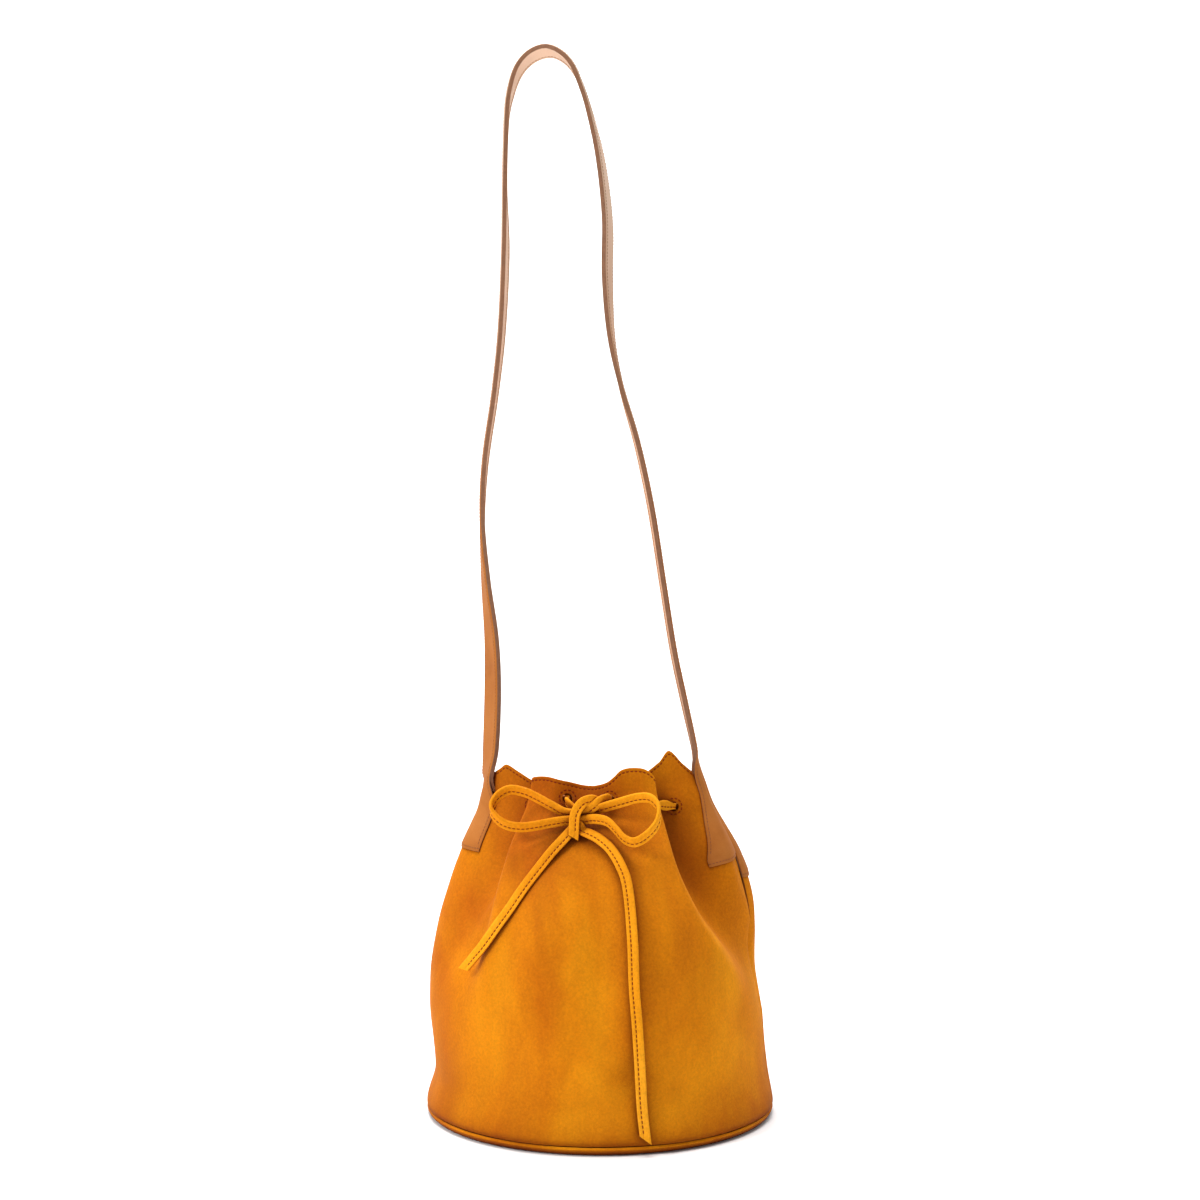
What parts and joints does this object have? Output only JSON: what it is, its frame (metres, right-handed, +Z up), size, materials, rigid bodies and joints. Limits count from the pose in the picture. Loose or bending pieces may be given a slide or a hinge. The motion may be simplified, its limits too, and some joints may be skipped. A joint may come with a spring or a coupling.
{
  "type": "bucket bag",
  "caption": "Leather bucket bag with a round base, a drawstring neck tied in a bow, sewn strap tabs and a long shoulder strap that swings over the mouth.",
  "frame": {"origin": "middle of the base's underside, on the surface that the bag stands on", "axes": "+Z up through the mouth, -Y towards the bow at the front, X through the two strap tabs"},
  "size_m": [0.272, 0.272, 0.8387],
  "materials": {
    "nubuck": "napped matte nubuck",
    "nubuck_string": "napped matte nubuck, folded and stitched",
    "strap_leather": "smooth vegetable-tanned, satin",
    "edge_paint": "painted leather edge",
    "thread": "waxed polyester thread",
    "board": "pressed fibre board"
  },
  "bodies": {
    "bag": {"front_panel": "nubuck", "back_panel": "nubuck", "rim_facing_front": "nubuck", "rim_facing_back": "nubuck", "base_panel": "nubuck", "base_board": "board", "strap_tab_left": "strap_leather", "strap_tab_right": "strap_leather", "strap_backing_left": "strap_leather", "strap_backing_right": "strap_leather", "drawstring_woven": "nubuck_string", "bow_knot": "nubuck_string", "bow_loop_left": "nubuck_string", "bow_loop_right": "nubuck_string", "drawstring_tail_left": "nubuck_string", "drawstring_tail_right": "nubuck_string"},
    "strap": {"strap_outer": "strap_leather", "strap_lining": "strap_leather"}
  },
  "joints": [
    {"name": "strap_swing", "type": "hinge", "parent": "bag", "child": "strap", "pos_m": [-0.007, 0, 0.284], "axis": [1, 0, 0], "range_deg": [-85, 85]}
  ]
}
